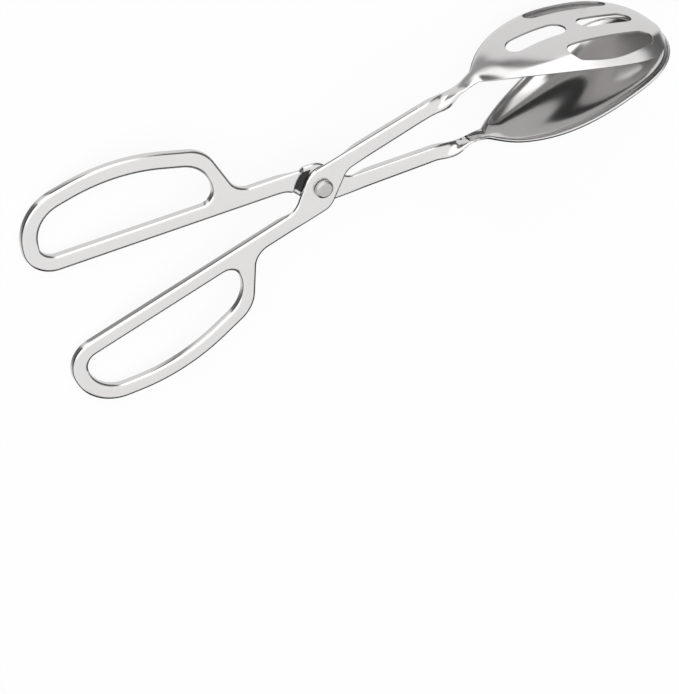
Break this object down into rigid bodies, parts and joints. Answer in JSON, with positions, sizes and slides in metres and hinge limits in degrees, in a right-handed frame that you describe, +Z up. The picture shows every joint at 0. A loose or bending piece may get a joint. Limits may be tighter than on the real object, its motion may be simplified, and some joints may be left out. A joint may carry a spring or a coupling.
{
  "type": "scissor serving tongs",
  "caption": "Scissor serving tongs: two pressed steel arms on one rivet, with finger loops at one end and a slotted and a plain spoon at the other.",
  "frame": {"origin": "on the table, under the middle of the closed tongs", "axes": "+X from the finger loops to the spoons, +Y to the slotted spoon's side, +Z up; the tongs lie on the far rims of the spoons and the ends of the finger loops"},
  "size_m": [0.2632, 0.0982, 0.0539],
  "materials": {
    "satin_steel": "satin polished stainless sheet",
    "rivet_steel": "dull stainless rivet"
  },
  "bodies": {
    "root": {"plain_arm": "satin_steel", "pivot_rivet": "rivet_steel"},
    "slotted": {"slotted_arm": "satin_steel"}
  },
  "joints": [
    {"name": "pivot", "type": "hinge", "parent": "root", "child": "slotted", "pos_m": [-0.01967, 0, 0.01585], "axis": [-0.114, 0, 0.9935], "range_deg": [0, 65]}
  ]
}
